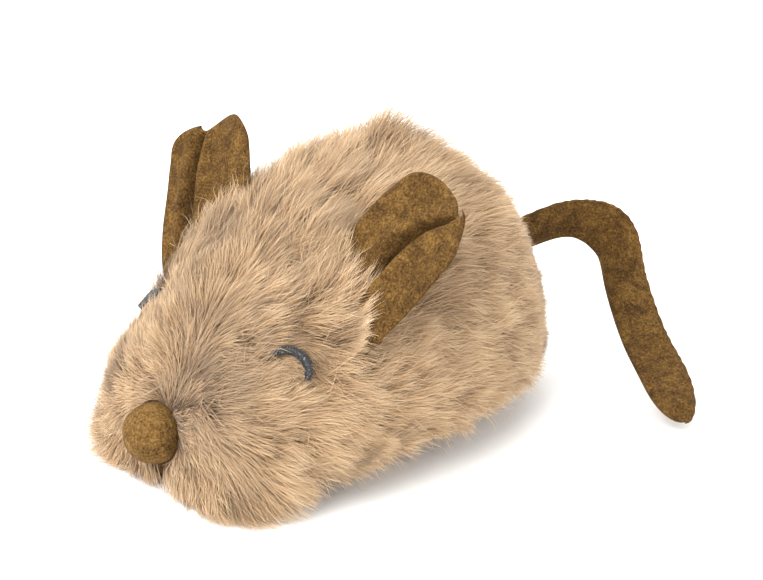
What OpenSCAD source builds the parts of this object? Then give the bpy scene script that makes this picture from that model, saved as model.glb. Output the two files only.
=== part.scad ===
// Clockwork mouse: a plush mouse body over a wind-up drive on a slotted base plate.
// Nose points to -Y, the mouse's left is +X, up is +Z.
// The origin is the middle of the flat pad under the base plate.

/* [Body] */
// Greatest width of the body, to the middle of the fur
body_w = 60; // [48:1:72]
// Length of the body, nose end to rump, to the middle of the fur
body_l = 89.5; // [74:0.5:108]
// Height of the back above the floor, to the middle of the fur
body_h = 47.5; // [40:0.5:57]
// How far the nose end is in front of the drive axle
nose_reach = 37.5; // [31:0.5:45]
// Thickness of the fur fabric, backing and pressed pile
fur_t = 5; // [4:0.1:6]
// Height of the hem above the floor
hem_z = 1.5; // [1.2:0.1:1.8]
// Diameter of the covered nose ball
nose_d = 11; // [9:0.5:13]

/* [Ears and eyes] */
// Free length of an ear
ear_l = 24; // [19:0.5:29]
// Half of the width of an ear
ear_w = 10.6; // [8:0.1:12.8]
// Thickness of an ear, two layers sewn together
ear_t = 1.8; // [1.4:0.1:2.2]
// Half of the angle between the two halves of an ear
ear_fold = 80; // [65:1:85]
// Length of the stitched line of a closed eye
eye_l = 10.5; // [8.5:0.5:12.5]
// Thickness of the stitched line
eye_d = 1.2; // [0.9:0.1:1.5]

/* [Tail] */
// Width of the tail strip
tail_w = 9; // [7:0.5:11]
// Thickness of the tail strip
tail_t = 2.6; // [2:0.1:3.2]
// Sideways and lengthwise reach of the tail
tail_reach = 50; // [42:1:60]

/* [Wheels] */
// Outside diameter of a drive tyre
tyre_d = 18; // [17:0.5:21.5]
// Width of a drive tyre
tyre_w = 4; // [3:0.5:5]
// Distance between the middles of the two tyres
track = 26; // [25:0.5:30]
// Diameter of the drive axle
axle_d = 2; // [1.6:0.1:2.4]
// Diameter of the rear roller
roller_d = 8; // [7:0.5:9]
// Length of the rear roller
roller_l = 6; // [5:0.5:7]
// Distance from the drive axle back to the roller
wheel_base = 40; // [39:0.5:42]

/* [Gears] */
// Module of every gear
gear_m = 0.5; // [0.48:0.01:0.55]
// Teeth of the great wheel
great_n = 36; // [30:1:40]
// Teeth of the intermediate pinion and of the drive pinion
pinion_n = 10; // [10:1:12]
// Teeth of the intermediate wheel
wheel_n = 30; // [26:1:32]
// Teeth of the idler
idler_n = 20; // [18:1:22]
// Teeth of the governor pinion
governor_n = 8; // [8:1:10]
// Room between the flanks of two meshed teeth
backlash = 0.16; // [0.12:0.01:0.2]

/* [Drive] */
// Inside width of the gear case
case_in = 17; // [17:0.5:19]
// Wall of the gear case
case_wall = 1; // [0.8:0.1:1.2]
// Diameter of the winding arbor
arbor_d = 3; // [2.6:0.1:3.2]
// Width of the mainspring
spring_w = 6; // [5:0.5:6.5]
// Turns of the mainspring
spring_turns = 7; // [5:1:8]
// Teeth of the ratchet wheel
ratchet_n = 12; // [12:12:12]
// Diameter of the governor flywheel
fly_d = 10; // [8:0.5:11]
// Running clearance of every shaft in its bore, on the radius
run_gap = 0.05; // [0.03:0.01:0.08]

/* [Key] */
// Distance from the middle of the body to the key's wings
key_reach = 34.5; // [32:0.5:40]
// Diameter of the key's stem
stem_d = 4.8; // [4.4:0.2:5.6]
// Diameter of one wing of the key
wing_d = 9; // [7.5:0.5:10]

/* [Base] */
// Thickness of the base plate
plate_t = 1.8; // [1.5:0.1:2.2]
// Height of the base plate's underside above the floor
plate_z = 2.5; // [2.2:0.1:2.8]
// Half width of the base plate
plate_hw = 18; // [17:0.5:20]
// Size of the flat pad under the plate
pad_w = 14; // [12:0.5:16]

/* [Hidden] */
// The sub-part to build, or all of them
$fn = 48;

// Colours
fur_c = [0.78, 0.65, 0.52];
suede_c = [0.48, 0.35, 0.2];
thread_c = [0.08, 0.08, 0.1];
fill_c = [0.93, 0.92, 0.88];
plastic_c = [0.13, 0.13, 0.14];
case_c = [0.86, 0.85, 0.8];
brass_c = [0.8, 0.64, 0.28];
steel_c = [0.66, 0.67, 0.69];
rubber_c = [0.09, 0.09, 0.09];

// Gear centres in the Y-Z plane, measured from the drive axle
pitch_a = gear_m * great_n / 2;
pitch_p = gear_m * pinion_n / 2;
pitch_w = gear_m * wheel_n / 2;
pitch_i = gear_m * idler_n / 2;
pitch_g = gear_m * governor_n / 2;
axle_z = tyre_d / 2;
drive_c = [0, axle_z];
idler_dir = 40;
middle_dir = 5;
great_dir = 3;
governor_dir = 110;
idler_c = drive_c + (pitch_i + pitch_p) * [cos(idler_dir), sin(idler_dir)];
middle_c = idler_c + (pitch_w + pitch_i) * [cos(middle_dir), sin(middle_dir)];
great_c = middle_c + (pitch_a + pitch_p) * [cos(great_dir), sin(great_dir)];
governor_c = middle_c + (pitch_w + pitch_g) * [cos(governor_dir), sin(governor_dir)];
roller_c = [wheel_base, roller_d / 2];

// The pad's middle is the origin
pad_y = 18.7;
pad_t = 0.6;
pad_z = plate_z - pad_t;
plate_top = plate_z + plate_t;

// Outer limits of the gear case
case_hx = case_in / 2 + case_wall;
great_room = pitch_a + gear_m + 0.4;
fly_room = fly_d / 2 + 0.8;
axle_room = 4.2;
idler_room = pitch_i + gear_m + 0.6;

// Axial places
great_x = 0.5;
great_t = 2;
ratchet_x = 3.2;
ratchet_t = 1.2;
train_x = 4.6;
train_t = 1.9;
wheel_x = 4.8;
wheel_t = 1.5;

// Moves a piece from the floor frame of the drive axle to the part's frame
module place() {
  translate([0, -pad_y, -pad_z]) children();
}

// Turns a piece drawn in X-Y and raised along Z so that it lies in Y-Z and runs along X
module along_x(x, c) {
  translate([x, c[0], c[1]]) rotate([90, 0, 90]) children();
}

// A shaft, pin or bore along X from x1 to x2
module rod(x1, x2, c, r) {
  along_x(x1, c) cylinder(h = x2 - x1, r = r);
}

// ---- Gears
// Angle of the involute at radius r on base radius b
function inv_angle(r, b) = r <= b ? 0 : sqrt(r * r / (b * b) - 1) * 180 / PI - acos(b / r);
// Half of a tooth's angle at radius r
function half_tooth(r, pitch, b, gap) =
  45 * gear_m / pitch - gap * 45 / (PI * pitch) + inv_angle(pitch, b) - inv_angle(r, b);
function polar(r, a) = [r * cos(a), r * sin(a)];

// One gear outline with a tooth centred on the first axis
function gear_points(n, tip, root) =
  let (pitch = gear_m * n / 2, b = pitch * cos(20), low = pitch - root, high = pitch + tip, steps = 5)
  [for (k = [0:n - 1]) let (mid = k * 360 / n) each concat(
    [polar(low, mid - half_tooth(b, pitch, b, backlash) - 1.2)],
    [for (i = [0:steps]) let (r = max(b, low) + (high - max(b, low)) * i / steps)
      polar(r, mid - half_tooth(r, pitch, b, backlash))],
    [for (i = [steps:-1:0]) let (r = max(b, low) + (high - max(b, low)) * i / steps)
      polar(r, mid + half_tooth(r, pitch, b, backlash))],
    [polar(low, mid + half_tooth(b, pitch, b, backlash) + 1.2)]
  )];

// A gear with its bore, turned to its place in the mesh
module gear(n, x, t, c, bore_r, turn, tip, root) {
  difference() {
    along_x(x, c) rotate([0, 0, turn]) linear_extrude(t) polygon(gear_points(n, tip, root));
    rod(x - 1, x + t + 1, c, bore_r);
  }
}

// Turn of gear q so that its gap meets the tooth of gear p in the direction dir
function mesh_turn(turn_p, n_p, dir, n_q) = dir + 180 + (180 - (turn_p - dir) * n_p) / n_q;
great_turn = 0;
middle_pinion_turn = mesh_turn(great_turn, great_n, great_dir + 180, pinion_n);
wheel_turn = 0;
idler_turn = mesh_turn(wheel_turn, wheel_n, middle_dir + 180, idler_n);
drive_turn = mesh_turn(idler_turn, idler_n, idler_dir + 180, pinion_n);
governor_turn = mesh_turn(wheel_turn, wheel_n, governor_dir, governor_n);
wheel_tip = 0.75 * gear_m;
wheel_root = 1.15 * gear_m;
pinion_tip = 0.75 * gear_m;
pinion_root = 1.1 * gear_m;

// ---- Body surface
side_n = 13;
ring_n = 22;
nose_y = -nose_reach;
rump_y = body_l - nose_reach;
wide_y = nose_y + 0.492 * body_l;
high_y = nose_y + 0.648 * body_l;
function ratio(y, peak) = y < peak ? (peak - y) / (peak - nose_y) : (y - peak) / (rump_y - peak);
function half_w(y) = body_w / 2 * (y < wide_y
  ? pow(max(0, 1 - pow(ratio(y, wide_y), 2.2)), 0.245)
  : pow(max(0, 1 - pow(ratio(y, wide_y), 2)), 0.451));
low_z = 0.21 * body_h;
function top_z(y) = low_z + (body_h - low_z) * (y < high_y
  ? pow(max(0, 1 - pow(ratio(y, high_y), 1.5)), 0.548)
  : pow(max(0, 1 - pow(ratio(y, high_y), 2.2)), 0.448));
// A point of the outer surface: v runs from the spine, 0, to the hem, 1
function outer_point(y, v) =
  let (w = half_w(y), h = top_z(y), c = hem_z + 0.22 * (h - hem_z), q = 90 * (1 - v / 0.75))
  v <= 0.75
    ? [w * pow(cos(q), 0.89), y, c + (h - c) * pow(max(0, sin(q)), 0.89)]
    : let (s = (v - 0.75) / 0.25) [w * (1 - 0.12 * s * s), y, c - (c - hem_z) * s];
// The same point moved in by t, with the hem kept at height z0
mid_y = (nose_y + rump_y) / 2;
function inset(p, t, z0) = [
  p[0] * (1 - t / (body_w / 2)),
  mid_y + (p[1] - mid_y) * (1 - t / (body_l / 2)),
  z0 + (p[2] - hem_z) * (body_h - t - z0) / (body_h - hem_z)
];
function station(k, n, end) = mid_y - body_l / 2 * end * cos(180 * k / n);
// Half width of the body at y and height z, moved in by t
function depth_at(y, z, t) =
  let (yy = mid_y + (y - mid_y) / (1 - t / (body_l / 2)), h = top_z(yy), c = hem_z + 0.22 * (h - hem_z))
  (1 - t / (body_w / 2)) * half_w(yy) * pow(max(0, 1 - pow(max(0, z - c) / (h - c), 2.25)), 0.445);

// A closed solid through a row of loops with the same number of points
module loft(rows) {
  n = len(rows[0]);
  m = len(rows);
  sides = [for (i = [0:m - 2]) for (j = [0:n - 1])
    let (a = i * n + j, b = i * n + (j + 1) % n) each [[a, a + n, b], [b, a + n, b + n]]];
  cap = [for (j = [0:floor((n - 1) / 2) - 1]) each j + 1 < n - 2 - j
    ? [[j, j + 1, n - 2 - j], [j, n - 2 - j, n - 1 - j]] : [[j, j + 1, n - 1 - j]]];
  end = [for (f = cap) [f[0] + (m - 1) * n, f[2] + (m - 1) * n, f[1] + (m - 1) * n]];
  polyhedron(points = [for (r = rows) each r], faces = concat(sides, cap, end), convexity = 10);
}

seam = 0.05;
function shift_x(p) = [p[0] + seam, p[1], p[2]];
function skin_row(y) = concat(
  [for (j = [0:side_n]) shift_x(outer_point(y, j / side_n))],
  [for (j = [side_n:-1:0]) shift_x(inset(outer_point(y, j / side_n), fur_t, hem_z))]
);
module skin_half() {
  loft([for (k = [0:ring_n]) skin_row(station(k, ring_n, 1))]);
}

nose_c = [0, nose_y - 0.3, 10.5];
key_c = great_c;

module fur_half() {
  difference() {
    skin_half();
    translate(nose_c) sphere(d = nose_d + 0.1);
  }
}

// ---- Soft parts
module fur_left() {
  color(fur_c) place() fur_half();
}

module fur_right() {
  color(fur_c) place() difference() {
    mirror([1, 0, 0]) fur_half();
    rod(-body_w, 0, key_c, stem_d / 2 + 1.9);
  }
}

// Outline of the underside, from the hem moved in by t
function under_points(t) = concat(
  [for (k = [1:ring_n - 1]) let (p = inset(outer_point(station(k, ring_n, 1), 1), t, hem_z)) [p[0], p[1]]],
  [for (k = [ring_n - 1:-1:1]) let (p = inset(outer_point(station(k, ring_n, 1), 1), t, hem_z)) [-p[0], p[1]]]
);

// Outline of the base plate, grown by g
plate_front = nose_y + 17.5;
plate_rear = wheel_base + 6.4;
module plate_outline(g) {
  hull() {
    translate([0, plate_front + 11]) circle(r = 11 + g);
    translate([plate_hw - 5, -7]) circle(r = 5 + g);
    translate([5 - plate_hw, -7]) circle(r = 5 + g);
    translate([plate_hw - 6, 26]) circle(r = 5 + g);
    translate([6 - plate_hw, 26]) circle(r = 5 + g);
    translate([0, plate_rear - 7]) circle(r = 7 + g);
  }
}

module belly_ring() {
  color(fur_c) place() translate([0, 0, plate_z + 0.1]) linear_extrude(plate_t - 0.2) difference() {
    polygon(under_points(fur_t + 0.1));
    plate_outline(0.1);
  }
}

// The stuffing fills the skin and leaves room for the drive
fill_in = fur_t + 0.15;
function fill_row(y) = concat(
  [for (j = [0:side_n]) inset(outer_point(y, j / side_n), fill_in, hem_z)],
  [for (j = [side_n:-1:1]) let (p = inset(outer_point(y, j / side_n), fill_in, hem_z)) [-p[0], p[1], p[2]]]
);
well = 1.2;
module stuffing() {
  color(fill_c) place() difference() {
    loft([for (k = [0:ring_n]) fill_row(station(k, ring_n, 0.965))]);
    translate([-body_w, nose_y - 10, -10]) cube([2 * body_w, body_l + 20, plate_top + 10.1]);
    translate([-case_hx - 0.5, 0, 0]) rotate([90, 0, 90])
      linear_extrude(2 * case_hx + 2) offset(delta = 0.5) case_outline();
    wheel_well(1);
    wheel_well(-1);
    rod(-body_w, 0, key_c, stem_d / 2 + 1.9);
    translate([-roller_l / 2 - 3, roller_c[0] - 7, 0]) cube([roller_l + 6, 11.5, roller_d + 1.2]);
    for (s = [-1, 1], y = foot_y) translate([s * foot_x - 4, y - 3.5, 0]) cube([8, 7, foot_z + 0.6]);
  }
}

well_in = case_hx - 1;
well_out = track / 2 + tyre_w / 2 + 1.4;
module wheel_well(s) {
  rod(min(s * well_in, s * well_out), max(s * well_in, s * well_out), drive_c, tyre_d / 2 + well);
}

// Ear: rows of folded sections from inside the head to the rounded tip
function unit(v) = v / norm(v);
ear_base = [20.6, wide_y - 13.9, 0.72 * body_h];
ear_dir = unit([0.467, 0.453, 0.76]);
ear_face = unit([0.01, -0.86, 0.51] - ([0.01, -0.86, 0.51] * ear_dir) * ear_dir);
ear_side = cross(ear_dir, ear_face);
ear_sunk = 5;
ear_rows = 14;
ear_cols = 10;
function ear_half(t) = ear_w
  * (t < 0.6 ? 1.04 - 0.067 * t : pow(max(0.03, 1 - pow((t - 0.6) / 0.405, 3)), 0.36));
function fold_point(q, w, off) =
  let (a = q * w * sin(ear_fold), b = (sqrt(q * q + 0.03) - 0.17) * w * cos(ear_fold),
       ta = sin(ear_fold), tb = q / sqrt(q * q + 0.03) * cos(ear_fold), n = norm([ta, tb]))
  [a - off * tb / n, b + off * ta / n];
function ear_row(t) =
  let (c = ear_base + ear_dir * (t * (ear_l + ear_sunk) - ear_sunk) - ear_face * 0.8)
  [for (p = concat(
      [for (i = [0:ear_cols]) fold_point(2 * i / ear_cols - 1, ear_half(t), ear_t / 2)],
      [for (i = [ear_cols:-1:0]) fold_point(2 * i / ear_cols - 1, ear_half(t), -ear_t / 2)]
    )) c + ear_side * p[0] + ear_face * p[1]];
module ear() {
  loft([for (k = [0:ear_rows]) ear_row(1 - pow(1 - k / ear_rows, 1.5))]);
}
module ear_left() {
  color(suede_c) place() ear();
}
module ear_right() {
  color(suede_c) place() mirror([1, 0, 0]) ear();
}

module nose() {
  color(suede_c) place() translate(nose_c) sphere(d = nose_d);
}

// Closed eye: an arched line of stitches on the side of the head
eye_y = nose_y + 13.3;
eye_z = 0.512 * body_h;
eye_turn = 2.7;
eye_r = eye_l / eye_turn;
eye_out = [0.559, -0.525, 0.641];
eye_back = [0.685, 0.728, 0];
module eye() {
  p = [depth_at(eye_y, eye_z, 0), eye_y, eye_z] - 0.35 * eye_out;
  u = cross(eye_out, eye_back);
  multmatrix([
    [eye_back[0], u[0], eye_out[0], p[0]],
    [eye_back[1], u[1], eye_out[1], p[1]],
    [eye_back[2], u[2], eye_out[2], p[2]]
  ]) rotate([0, 0, -24])
    rotate_extrude(angle = eye_turn * 180 / PI) translate([eye_r, 0]) circle(d = eye_d, $fn = 24);
}
module eye_left() {
  color(thread_c) place() eye();
}
module eye_right() {
  color(thread_c) place() mirror([1, 0, 0]) eye();
}

// Tail: a flat strip that leaves the rump, bends over and comes down to the floor
tail_root = [1, rump_y, 0.53 * body_h];
reach = tail_reach / 50;
tail_path = [for (p = [
    [-2, -9, -4], [0, -4, -1], [5, 9.5, 2.9], [10, 15, 2.4], [14.5, 16.5, -1],
    [20.5, 13, -7.5], [31, 6.5, -14.5], [41, 1, -19], [50, -4.5, -22.6], [54, -7, -23]
  ]) tail_root + [p[0] * reach, p[1] * reach, p[2]]];
tail_side = [[0, -0.3, 1], [0, -0.3, 1], [0.1, -0.3, 1], [0.3, 0.1, 0.9], [0.6, 0.4, 0.7],
  [0.75, 0.5, 0.4], [0.7, 0.65, 0.25], [0.6, 0.75, 0.1], [0.55, 0.8, 0], [0.55, 0.8, 0]];
function spline(list, s) =
  let (i = min(len(list) - 3, max(1, floor(s))), f = s - i,
       a = list[i - 1], b = list[i], c = list[i + 1], d = list[i + 2])
  b + 0.5 * f * ((c - a) + f * ((2 * a - 5 * b + 4 * c - d) + f * (3 * (b - c) + d - a)));
tail_n = 30;
tail_cols = 12;
function tail_row(s, scale_w) =
  let (c = spline(tail_path, s), t = unit(spline(tail_path, s + 0.01) - spline(tail_path, s - 0.01)),
       w0 = spline(tail_side, s), w = unit(w0 - (w0 * t) * t), n = cross(t, w))
  [for (i = [0:tail_cols - 1]) let (a = 360 * i / tail_cols)
    c + w * (cos(a) * scale_w * tail_w / 2) + n * (sin(a) * min(1, 2.2 * scale_w) * tail_t / 2)];
function tail_taper(k) = let (f = k / tail_n)
  f > 0.93 ? sqrt(max(0.06, 1 - pow((f - 0.93) / 0.073, 2))) : 0.8 + 0.2 * f;
module tail() {
  color(suede_c) place() loft([for (k = [0:tail_n]) tail_row(1.05 + 6.95 * k / tail_n, tail_taper(k))]);
}

// ---- Key eyelet in the right flank
eyelet_x = half_w(key_c[0] - stem_d / 2 - 3.2);
module key_eyelet() {
  color(steel_c) place() difference() {
    union() {
      rod(-eyelet_x - 0.5, -eyelet_x + fur_t + 1, key_c, stem_d / 2 + 1.88);
      rod(-eyelet_x - 0.9, -eyelet_x - 0.1, key_c, stem_d / 2 + 3.2);
    }
    rod(-body_w, 0, key_c, stem_d / 2 + 0.9);
  }
}

// ---- Base plate
foot_x = case_hx + 2.6;
foot_y = [idler_c[0] + 8.4, great_c[0] - 1];
foot_z = plate_top + 5;
slot_l = 2 * sqrt(pow(tyre_d / 2, 2) - pow(axle_z - plate_top, 2)) + 2.2;
roller_slot = roller_d + 1.4;
module base_plate() {
  color(plastic_c) place() difference() {
    union() {
      translate([0, 0, plate_z]) linear_extrude(plate_t) plate_outline(0);
      translate([-pad_w / 2, pad_y - pad_w / 2, pad_z]) cube([pad_w, pad_w, pad_t]);
      for (s = [-1, 1]) translate([s * (roller_l / 2 + 1.1) - 0.7, roller_c[0] - 2, plate_z])
        cube([1.4, 4, roller_d / 2 - plate_z + 2.4]);
    }
    for (s = [-1, 1]) translate([s * track / 2 - tyre_w / 2 - 0.6, -slot_l / 2, 0])
      cube([tyre_w + 1.2, slot_l, 9]);
    translate([-roller_l / 2 - 0.4, roller_c[0] - roller_slot / 2, 0])
      cube([roller_l + 0.8, roller_slot, 12]);
    rod(-roller_l, roller_l, roller_c, 0.8);
    for (s = [-1, 1], y = foot_y) translate([s * foot_x, y, 0]) cylinder(h = 12, r = 1.05);
    for (s = [-1, 1], y = foot_y) translate([s * foot_x, y, plate_z - 1]) cylinder(h = 1.8, r = 2);
  }
}

// ---- Gear case
module case_outline() {
  intersection() {
    hull() {
      translate(great_c) circle(r = great_room + case_wall);
      translate(governor_c) circle(r = fly_room + case_wall);
      translate(drive_c) circle(r = axle_room + case_wall);
      translate(idler_c) circle(r = idler_room + case_wall);
      translate([-4, plate_top + 1]) circle(r = 2);
      for (p = posts) translate(p) circle(r = post_r + 0.5 + case_wall);
    }
    translate([-30, plate_top]) square([100, 60]);
  }
}
module case_room() {
  intersection() {
    hull() {
      translate(great_c) circle(r = great_room);
      translate(governor_c) circle(r = fly_room);
      translate(drive_c) circle(r = axle_room);
      translate(idler_c) circle(r = idler_room);
      translate([-4, plate_top + 2]) circle(r = 2);
      for (p = posts) translate(p) circle(r = post_r + 0.5);
    }
    translate([-30, plate_top + case_wall]) square([100, 60]);
  }
}
post_r = 1.7;
posts = [
  idler_c + [-7.9, 2.2],
  [idler_c[0] + 3.6, plate_top + case_wall + 1.4],
  great_c + (great_room + 1.9) * [cos(113), sin(113)],
  great_c + (great_room + 1.7) * [cos(40), sin(40)]
];
module case_half(s) {
  difference() {
    union() {
      difference() {
        along_x(s > 0 ? 0 : -case_hx, [0, 0]) linear_extrude(case_hx) case_outline();
        along_x(s > 0 ? -1 : -case_in / 2, [0, 0]) linear_extrude(case_in / 2 + 1) case_room();
      }
      for (p = posts) rod(s > 0 ? 0 : -case_in / 2 - 0.5, s > 0 ? case_in / 2 + 0.5 : 0, p, post_r);
      for (y = foot_y) translate([s > 0 ? case_hx - 0.3 : -case_hx - 5, y - 2.6, plate_top])
        cube([5.3, 5.2, 5]);
    }
    rod(-case_hx - 1, case_hx + 1, great_c, arbor_d / 2 + run_gap);
    rod(-case_hx - 1, case_hx + 1, middle_c, 1 + run_gap);
    rod(-case_hx - 1, case_hx + 1, drive_c, axle_d / 2 + run_gap);
    rod(-case_hx - 1, case_hx + 1, governor_c, 0.6 + run_gap);
    rod(-case_hx - 1, case_hx + 1, idler_c, 1);
    for (p = posts) rod(-case_hx - 1, case_hx + 1, p, s > 0 ? 0.95 : 0.8);
    for (y = foot_y) translate([s * foot_x, y, plate_top - 1]) cylinder(h = 5, r = 0.8);
  }
}
module case_left() {
  color(case_c) place() case_half(1);
}
module case_right() {
  color(case_c) place() case_half(-1);
}

// Screws: cross slot in a round head, shank of the bore's size
module case_screw(p) {
  difference() {
    union() {
      rod(-case_in / 2 + 2, case_hx + 0.1, p, 0.8);
      rod(case_hx, case_hx + 1, p, 1.7);
    }
    along_x(case_hx + 0.5, p) translate([-1.1, -0.2, 0]) cube([2.2, 0.4, 1]);
    along_x(case_hx + 0.5, p) translate([-0.2, -1.1, 0]) cube([0.4, 2.2, 1]);
  }
}
module case_screw_1() {
  color(steel_c) place() case_screw(posts[0]);
}
module case_screw_2() {
  color(steel_c) place() case_screw(posts[1]);
}
module case_screw_3() {
  color(steel_c) place() case_screw(posts[2]);
}
module case_screw_4() {
  color(steel_c) place() case_screw(posts[3]);
}

module base_screw(x, y) {
  difference() {
    union() {
      translate([x, y, plate_z + 0.8]) cylinder(h = plate_t + 2.4, r = 0.8);
      translate([x, y, plate_z]) cylinder(h = 0.8, r = 1.9);
    }
    translate([x - 1.2, y - 0.2, plate_z - 0.1]) cube([2.4, 0.4, 0.5]);
    translate([x - 0.2, y - 1.2, plate_z - 0.1]) cube([0.4, 2.4, 0.5]);
  }
}
module base_screw_1() {
  color(steel_c) place() base_screw(foot_x, foot_y[0]);
}
module base_screw_2() {
  color(steel_c) place() base_screw(-foot_x, foot_y[0]);
}
module base_screw_3() {
  color(steel_c) place() base_screw(foot_x, foot_y[1]);
}
module base_screw_4() {
  color(steel_c) place() base_screw(-foot_x, foot_y[1]);
}

// ---- Mainspring: a spiral strip from an eye round the arbor to an eye round the rear post
spring_t = 0.3;
spring_in = arbor_d / 2 + 0.15;
spring_out = pitch_a - 0.6;
post_c = posts[3] - great_c;
hook_c = post_c + (post_r + 0.22) * [cos(192), sin(192)];
hook_a = atan2(hook_c[1], hook_c[0]);
spring_end = hook_a - 40;
function spiral_r(f) = spring_in + spring_t / 2 + (spring_out - spring_in - spring_t / 2) * f;
spiral_n = spring_turns * 20;
function strip_point(i, off) = i <= spiral_n
  ? polar(spiral_r(i / spiral_n) + off, spring_end + 18 * (i - spiral_n))
  : let (f = (i - spiral_n) / 10)
    polar(spring_out + (norm(hook_c) - spring_out) * f * f + off, spring_end + 40 * f);
module mainspring() {
  color(steel_c) place() difference() {
    union() {
      along_x(-1.5 - spring_w, great_c) linear_extrude(spring_w) polygon(concat(
        [for (i = [0:spiral_n + 10]) strip_point(i, -spring_t / 2)],
        [for (i = [spiral_n + 10:-1:0]) strip_point(i, spring_t / 2)]
      ));
      rod(-1.5 - spring_w, -1.5, posts[3], post_r + 0.4);
    }
    rod(-2 - spring_w, -1, posts[3], post_r + 0.05);
  }
}

// ---- Winding group: arbor, ratchet wheel and key turn together
arbor_out = 17;
module winding_arbor() {
  color(steel_c) place() rod(-arbor_out, case_hx - 0.1, great_c, arbor_d / 2);
}

ratchet_out = 4.4;
ratchet_in = 3.5;
module ratchet_wheel() {
  color(steel_c) place() difference() {
    along_x(ratchet_x, great_c) rotate([0, 0, great_turn]) linear_extrude(ratchet_t) polygon([
      for (k = [0:ratchet_n - 1]) each [
        polar(ratchet_in, k * 360 / ratchet_n), polar(ratchet_out, k * 360 / ratchet_n)
      ]
    ]);
    rod(ratchet_x - 1, ratchet_x + ratchet_t + 1, great_c, arbor_d / 2);
  }
}

module winding_key() {
  color(steel_c) place() {
    difference() {
      rod(-key_reach, -case_hx - 0.7, key_c, stem_d / 2);
      rod(-arbor_out, 0, key_c, arbor_d / 2);
    }
    difference() {
      translate([-key_reach - wing_d / 2 + 1, key_c[0], key_c[1] - 0.8]) linear_extrude(1.6) union() {
        for (s = [-1, 1]) translate([0, s * wing_d * 0.55]) circle(d = wing_d);
        translate([-1.5, -wing_d * 0.3]) square([wing_d / 2 + 0.5, wing_d * 0.6]);
      }
      for (s = [-1, 1]) translate([-key_reach - wing_d / 2 + 1, key_c[0] + s * wing_d * 0.57, key_c[1] - 2])
        cylinder(h = 4, r = wing_d * 0.24);
      rod(-key_reach, 0, key_c, stem_d / 2);
    }
  }
}

// ---- Great wheel with the click's stud
click_r = 7;
click_a = -10;
click_c = great_c + polar(click_r, click_a);
module great_wheel() {
  color(brass_c) place() {
    difference() {
      gear(great_n, great_x, great_t, great_c, arbor_d / 2 + run_gap, great_turn, wheel_tip, wheel_root);
      for (a = [60:60:300]) rod(0, 3, great_c + polar(5, a), 1.5);
    }
    rod(great_x + great_t - 0.2, ratchet_x + ratchet_t + 0.1, click_c, 0.65);
  }
}

module click() {
  color(steel_c) place() difference() {
    union() {
      rod(ratchet_x, ratchet_x + ratchet_t, click_c, 1.3);
      along_x(ratchet_x, great_c) linear_extrude(ratchet_t)
        polygon([polar(3.65, 28), polar(4.3, 28.4), polar(7.1, 2), polar(7, -10), polar(4.75, -0.5)]);
      along_x(ratchet_x, great_c) linear_extrude(ratchet_t)
        polygon([for (a = [-50:6:-14]) polar(8, a), for (a = [-14:-6:-50]) polar(7.75, a)]);
    }
    rod(ratchet_x - 1, ratchet_x + ratchet_t + 1, click_c, 0.65 + run_gap);
  }
}

// ---- Middle arbor with its pinion and wheel
module middle_arbor() {
  color(steel_c) place() rod(-case_hx + 0.1, case_hx - 0.1, middle_c, 1);
}
module middle_pinion() {
  color(brass_c) place() gear(
    pinion_n, great_x - 0.3, great_t + 0.6, middle_c, 1, middle_pinion_turn, pinion_tip, pinion_root
  );
}
module middle_wheel() {
  color(brass_c) place() gear(wheel_n, wheel_x, wheel_t, middle_c, 1, wheel_turn, wheel_tip, wheel_root);
}

// ---- Idler on its fixed pin
module idler_gear() {
  color(case_c) place() gear(
    idler_n, train_x, train_t, idler_c, 1 + run_gap, idler_turn, wheel_tip, wheel_root
  );
}
module idler_pin() {
  color(steel_c) place() rod(-case_hx + 0.1, case_hx - 0.1, idler_c, 1);
}

// ---- Governor
module governor_pinion() {
  color(steel_c) place() union() {
    gear(governor_n, train_x, train_t, governor_c, 0.3, governor_turn, pinion_tip, pinion_root);
    rod(-case_hx + 0.1, case_hx - 0.1, governor_c, 0.6);
  }
}
module flywheel() {
  color(brass_c) place() difference() {
    rod(-6, -2, governor_c, fly_d / 2);
    rod(-7, -1, governor_c, 0.6);
    along_x(-2.8, governor_c) rotate_extrude() translate([fly_d / 4 - 0.6, 0]) square([fly_d / 4 - 0.6, 2]);
  }
}

// ---- Drive axle, hubs and tyres
module drive_axle() {
  color(steel_c) place() rod(-track / 2 - tyre_w / 2 + 0.2, track / 2 + tyre_w / 2 - 0.2, drive_c, axle_d / 2);
}
module drive_pinion() {
  color(brass_c) place() gear(
    pinion_n, train_x, train_t, drive_c, axle_d / 2, drive_turn, pinion_tip, pinion_root
  );
}
rim_r = tyre_d / 2 - 2.4;
module hub(s) {
  difference() {
    along_x(s * track / 2, drive_c) translate([0, 0, -tyre_w / 2]) difference() {
      cylinder(h = tyre_w, r = rim_r);
      translate([0, 0, s > 0 ? tyre_w - 1 : -1]) difference() {
        cylinder(h = 2, r = rim_r - 1);
        translate([0, 0, -1]) cylinder(h = 4, r = axle_d / 2 + 1.2);
      }
    }
    rod(-track, track, drive_c, axle_d / 2);
  }
}
module hub_left() {
  color(case_c) place() hub(1);
}
module hub_right() {
  color(case_c) place() hub(-1);
}
module tyre(s) {
  along_x(s * track / 2, drive_c) rotate_extrude() polygon([
    [rim_r, -tyre_w / 2], [tyre_d / 2 - 0.5, -tyre_w / 2], [tyre_d / 2, -tyre_w / 2 + 0.7],
    [tyre_d / 2, tyre_w / 2 - 0.7], [tyre_d / 2 - 0.5, tyre_w / 2], [rim_r, tyre_w / 2]
  ]);
}
module tyre_left() {
  color(rubber_c) place() tyre(1);
}
module tyre_right() {
  color(rubber_c) place() tyre(-1);
}

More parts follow.
